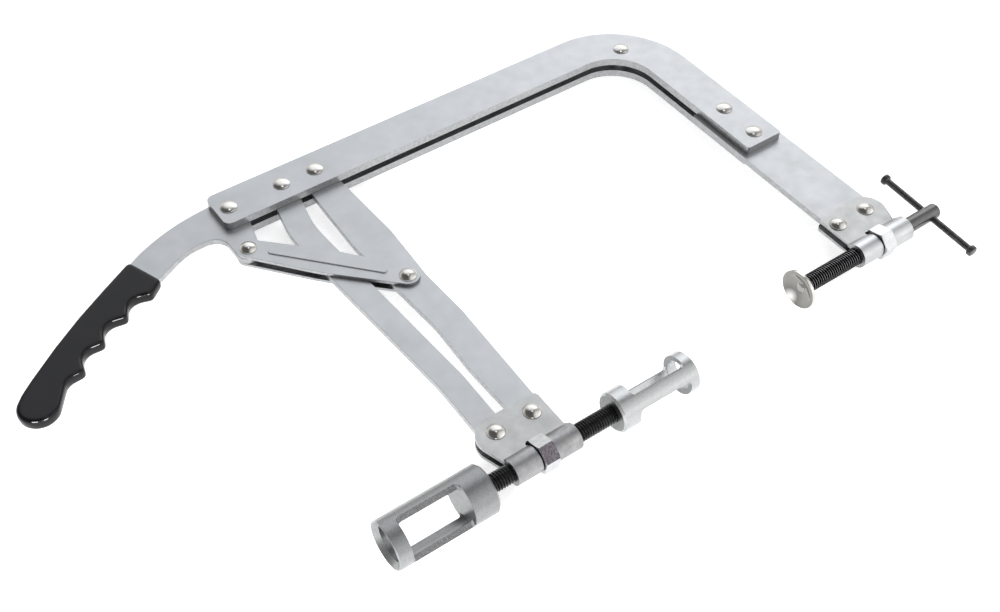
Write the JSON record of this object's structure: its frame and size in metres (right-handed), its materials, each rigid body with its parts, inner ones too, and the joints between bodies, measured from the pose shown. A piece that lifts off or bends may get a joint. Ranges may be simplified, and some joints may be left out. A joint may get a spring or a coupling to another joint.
{
  "type": "valve spring compressor",
  "caption": "C-frame valve spring compressor with an over-centre handle, parallel-link moving jaw, reversible spring adapters on a threaded rod, and a clamp screw with swivel foot.",
  "frame": {"origin": "centre of the small adapter's mouth, which bears on the spring retainer", "axes": "+X along the moving jaw's rod towards the clamp screw, +Y from the jaws up to the long arm, +Z square to the flat frame plates"},
  "size_m": [0.6168, 0.3495, 0.0332],
  "materials": {
    "plate_steel": "satin zinc-plated flat steel",
    "bracket_steel": "satin zinc-plated folded sheet",
    "rivet_nickel": "polished nickel rivet heads",
    "nut_nickel": "bright plated hex nut",
    "grip_vinyl": "glossy black dipped vinyl",
    "black_oxide": "black oxide on steel",
    "adapter_zinc": "satin zinc-plated casting with milled flats",
    "foot_nickel": "polished dished foot"
  },
  "bodies": {
    "frame": {"frame_plate_upper": "plate_steel", "frame_plate_lower": "plate_steel", "corner_spacer": "plate_steel", "corner_rivet": "rivet_nickel", "far_arm": "plate_steel", "far_arm_rivets": "rivet_nickel", "handle_pivot_rivet": "rivet_nickel", "rear_bar_pivot_rivet": "rivet_nickel", "front_bar_pivot_rivet": "rivet_nickel", "screw_bracket": "bracket_steel", "screw_nut": "nut_nickel", "screw_bracket_rivets": "rivet_nickel"},
    "handle": {"handle_lever": "plate_steel", "handle_grip": "grip_vinyl"},
    "link": {"link_upper": "plate_steel", "link_lower": "plate_steel", "link_handle_rivet": "rivet_nickel", "link_bar_rivet": "rivet_nickel"},
    "rear_bar": {"rear_bar": "plate_steel"},
    "front_bar": {"front_bar": "plate_steel"},
    "moving_bracket": {"adapter_bracket": "bracket_steel", "adapter_nut": "nut_nickel", "adapter_bracket_rivets": "rivet_nickel"},
    "adapter_rod": {"adapter_rod": "black_oxide"},
    "large_adapter": {"large_adapter": "adapter_zinc"},
    "small_adapter": {"small_adapter": "adapter_zinc"},
    "foot": {"foot_disc": "foot_nickel"},
    "clamp_screw": {"clamp_screw": "black_oxide", "foot_button": "foot_nickel"},
    "tommy_bar": {"tommy_bar": "black_oxide"}
  },
  "joints": [
    {"name": "handle_pivot", "type": "hinge", "parent": "frame", "child": "handle", "pos_m": [-0.17515, 0.2975, 0], "axis": [0, 0, 1], "range_deg": [-10, 44]},
    {"name": "link_pivot", "type": "hinge", "parent": "handle", "child": "link", "pos_m": [-0.1818, 0.2565, 0], "axis": [0, 0, 1], "range_deg": [-46, 11]},
    {"name": "front_bar_pivot", "type": "hinge", "parent": "frame", "child": "front_bar", "pos_m": [-0.1044, 0.2975, 0], "axis": [0, 0, 1], "range_deg": [-3.2, 13.3]},
    {"name": "rear_bar_pivot", "type": "hinge", "parent": "frame", "child": "rear_bar", "pos_m": [-0.1322, 0.2975, 0], "axis": [0, 0, 1], "range_deg": [-3.2, 13.3]},
    {"name": "bracket_pivot", "type": "hinge", "parent": "front_bar", "child": "moving_bracket", "pos_m": [-0.1044, 0.0274, 0], "axis": [0, 0, 1], "range_deg": [-13.3, 3.2]},
    {"name": "rod_feed", "type": "slide", "parent": "moving_bracket", "child": "adapter_rod", "axis": [1, 0, 0], "range_m": [-0.029, 0.0124]},
    {"name": "large_adapter_spin", "type": "hinge", "parent": "adapter_rod", "child": "large_adapter", "pos_m": [-0.1588, 0, 0], "axis": [1, 0, 0], "range_deg": [-5310, 2250]},
    {"name": "small_adapter_spin", "type": "hinge", "parent": "adapter_rod", "child": "small_adapter", "pos_m": [-0.062, 0, 0], "axis": [1, 0, 0], "range_deg": [-5311, 2251]},
    {"name": "foot_feed", "type": "slide", "parent": "frame", "child": "foot", "axis": [1, 0, 0], "range_m": [-0.0196, 0.0499]},
    {"name": "screw_spin", "type": "hinge", "parent": "foot", "child": "clamp_screw", "pos_m": [0.11435, 0.01013, 0], "axis": [1, 0, 0], "range_deg": [-3600, 9180]},
    {"name": "tommy_slide", "type": "slide", "parent": "clamp_screw", "child": "tommy_bar", "axis": [0, 0.9981, 0.061], "range_m": [-0.033, 0.033]}
  ],
  "couplings": [
    {"joint": "link_pivot", "follows": "handle_pivot", "ratio": -1.0317},
    {"joint": "front_bar_pivot", "follows": "handle_pivot", "ratio": 0.2975},
    {"joint": "rear_bar_pivot", "follows": "handle_pivot", "ratio": 0.2975},
    {"joint": "bracket_pivot", "follows": "handle_pivot", "ratio": -0.2975},
    {"joint": "rod_feed", "follows": "large_adapter_spin", "m_per_rad": 0.00031097},
    {"joint": "small_adapter_spin", "follows": "large_adapter_spin", "ratio": 1},
    {"joint": "foot_feed", "follows": "screw_spin", "m_per_rad": 0.00031097}
  ]
}
